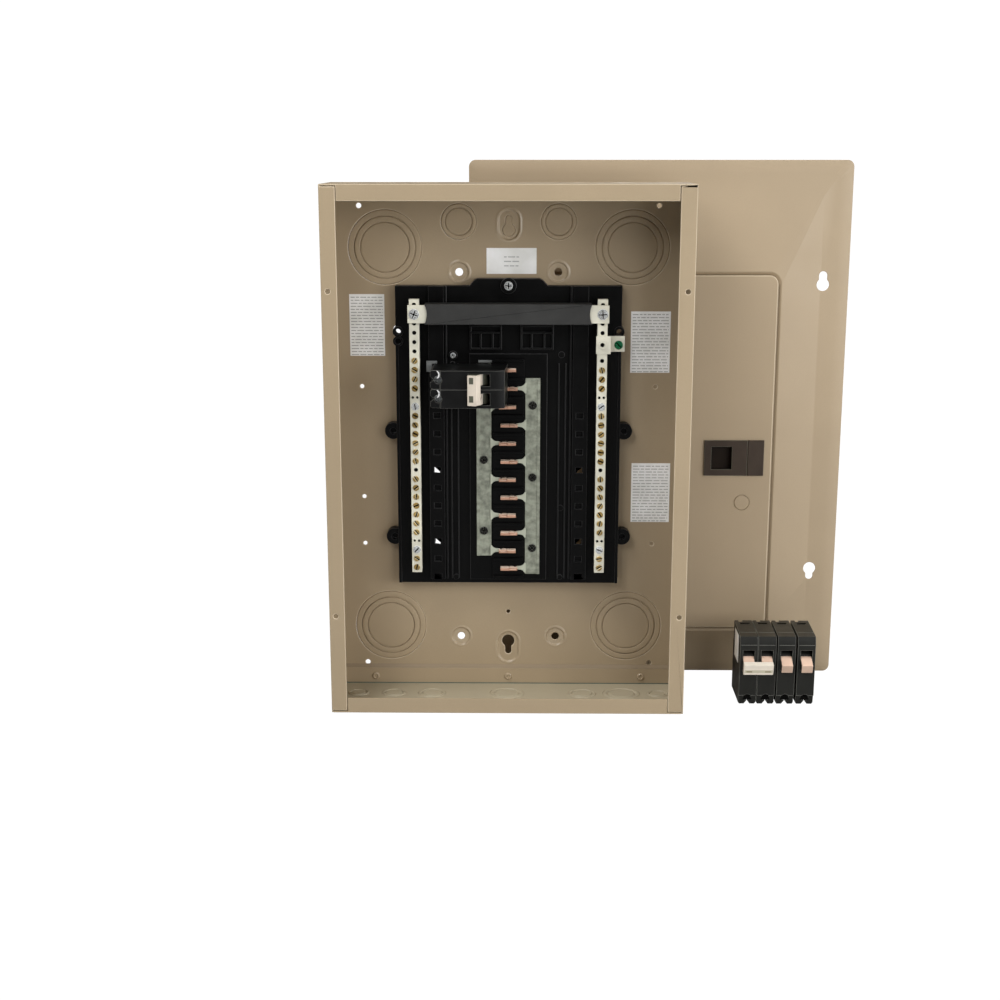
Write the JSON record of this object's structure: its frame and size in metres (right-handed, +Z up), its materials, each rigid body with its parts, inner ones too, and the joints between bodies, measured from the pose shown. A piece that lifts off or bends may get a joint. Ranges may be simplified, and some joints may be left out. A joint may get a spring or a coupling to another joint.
{
  "type": "residential load center",
  "caption": "Open breaker panel with black backpan, neutral bars, bus and main breaker, its cover with hinged door behind, and loose plug-on breakers.",
  "frame": {"origin": "centre of the rectangle of the four wall-mounting holes, on the holes' outer rims, where their dimples stand on the wall", "axes": "+X to the right as seen from the front, +Y into the wall, +Z up"},
  "size_m": [0.5397, 0.1506, 0.555],
  "materials": {
    "box_paint": "satin tan-grey enamel",
    "cover_paint": "satin tan-grey enamel",
    "latch_plastic": "dark brown-grey moulding",
    "black_plastic": "moulded thermoset",
    "dark_grey_plastic": "moulded channel",
    "pad_plastic": "grey pad",
    "cream_plastic": "cream moulding",
    "sand_plastic": "sand moulding",
    "bus_aluminium": "tin-plated bar",
    "bar_aluminium": "drilled bar",
    "plated_steel": "zinc plated",
    "spring_steel": "drawn wire",
    "brass": "machined",
    "green_screw": "green passivated",
    "black_steel": "black oxide",
    "copper": "copper strip",
    "label_paper": "blank label sheet"
  },
  "bodies": {
    "enclosure": {"enclosure_wrapper": "box_paint", "top_end_wall": "box_paint", "bottom_end_wall": "box_paint", "clinch_rivets": "box_paint", "back_knockouts": "box_paint", "end_knockouts": "box_paint", "backpan": "black_plastic", "backpan_screws": "plated_steel", "neutral_bar_left": "bar_aluminium", "neutral_bar_right": "bar_aluminium", "set_screws": "brass", "bar_mount_screws": "plated_steel", "neutral_strap": "bar_aluminium", "strap_insulator": "dark_grey_plastic", "strap_screws": "plated_steel", "bonding_strap": "bar_aluminium", "bonding_screw": "green_screw", "bus_bar_left": "bus_aluminium", "bus_bar_right": "bus_aluminium", "bus_screws": "black_steel", "stab_blades": "copper", "stab_barrier": "black_plastic", "hold_down_pad": "pad_plastic", "blank_labels": "label_paper", "main_breaker_case": "black_plastic", "main_breaker_lugs": "plated_steel", "main_lug_screws": "plated_steel", "main_breaker_jaws": "copper", "main_bimetals": "brass", "main_arc_plates": "plated_steel", "main_fixed_contacts": "copper"},
    "main_contacts": {"main_contact_arms": "copper"},
    "main_handle": {"main_breaker_handle": "cream_plastic"},
    "cover": {"cover_trim": "cover_paint", "twistout_plates": "cover_paint", "door_hinge_pins": "plated_steel"},
    "cover_door": {"door": "cover_paint", "lock_knockout": "cover_paint", "latch_housing": "latch_plastic", "latch_spring": "spring_steel"},
    "door_latch": {"latch_slide": "latch_plastic", "latch_bolt": "latch_plastic"},
    "pair_breaker": {"pair_breaker_case": "black_plastic", "pair_breaker_lugs": "plated_steel", "pair_lug_screws": "plated_steel", "pair_breaker_jaws": "copper", "pair_side_label": "label_paper"},
    "pair_handle": {"pair_handles": "sand_plastic", "pair_handle_tie": "cream_plastic"},
    "single_breaker_1": {"single_1_case": "black_plastic", "single_1_lug": "plated_steel", "single_1_screw": "plated_steel", "single_1_jaw": "copper"},
    "single_1_lever": {"single_1_handle": "sand_plastic"},
    "single_breaker_2": {"single_2_case": "black_plastic", "single_2_lug": "plated_steel", "single_2_screw": "plated_steel", "single_2_jaw": "copper"},
    "single_2_lever": {"single_2_handle": "sand_plastic"}
  },
  "joints": [
    {"name": "main_handle_turn", "type": "hinge", "parent": "enclosure", "child": "main_handle", "pos_m": [-0.0285, -0.0686, 0.08455], "axis": [0, 0, 1], "range_deg": [0, 36]},
    {"name": "main_contact_close", "type": "hinge", "parent": "enclosure", "child": "main_contacts", "pos_m": [-0.0475, -0.0466, 0.08455], "axis": [0, 0, 1], "range_deg": [0, 9]},
    {"name": "door_hinge", "type": "hinge", "parent": "cover", "child": "cover_door", "pos_m": [0.038, 0.0409, -0.0026], "axis": [0, 0, -1], "range_deg": [0, 105]},
    {"name": "cover_slide", "type": "slide", "parent": "enclosure", "child": "cover", "axis": [0, 1, 0], "range_m": [0, 0.37]},
    {"name": "latch_slide_x", "type": "slide", "parent": "cover_door", "child": "door_latch", "axis": [-1, 0, 0], "range_m": [0, 0.005], "stiffness_N_per_m": 400, "springref_m": -0.004, "deforming": ["latch_spring"]},
    {"name": "pair_breaker_lift", "type": "slide", "parent": "enclosure", "child": "pair_breaker", "axis": [0, 0, 1], "range_m": [0, 0.12]},
    {"name": "pair_handle_turn", "type": "hinge", "parent": "pair_breaker", "child": "pair_handle", "pos_m": [0.26125, -0.0549, -0.2001], "axis": [-1, 0, 0], "range_deg": [0, 36]},
    {"name": "single_breaker_1_lift", "type": "slide", "parent": "enclosure", "child": "single_breaker_1", "axis": [0, 0, 1], "range_m": [0, 0.12]},
    {"name": "single_1_handle_turn", "type": "hinge", "parent": "single_breaker_1", "child": "single_1_lever", "pos_m": [0.291, -0.0549, -0.2001], "axis": [-1, 0, 0], "range_deg": [0, 36]},
    {"name": "single_breaker_2_lift", "type": "slide", "parent": "enclosure", "child": "single_breaker_2", "axis": [0, 0, 1], "range_m": [0, 0.12]},
    {"name": "single_2_handle_turn", "type": "hinge", "parent": "single_breaker_2", "child": "single_2_lever", "pos_m": [0.3117, -0.0549, -0.2001], "axis": [-1, 0, 0], "range_deg": [0, 36]}
  ],
  "couplings": [
    {"joint": "main_contact_close", "follows": "main_handle_turn", "ratio": 0.25},
    {"joint": "cover_slide", "follows": "door_hinge", "m_per_rad": 0.2}
  ]
}
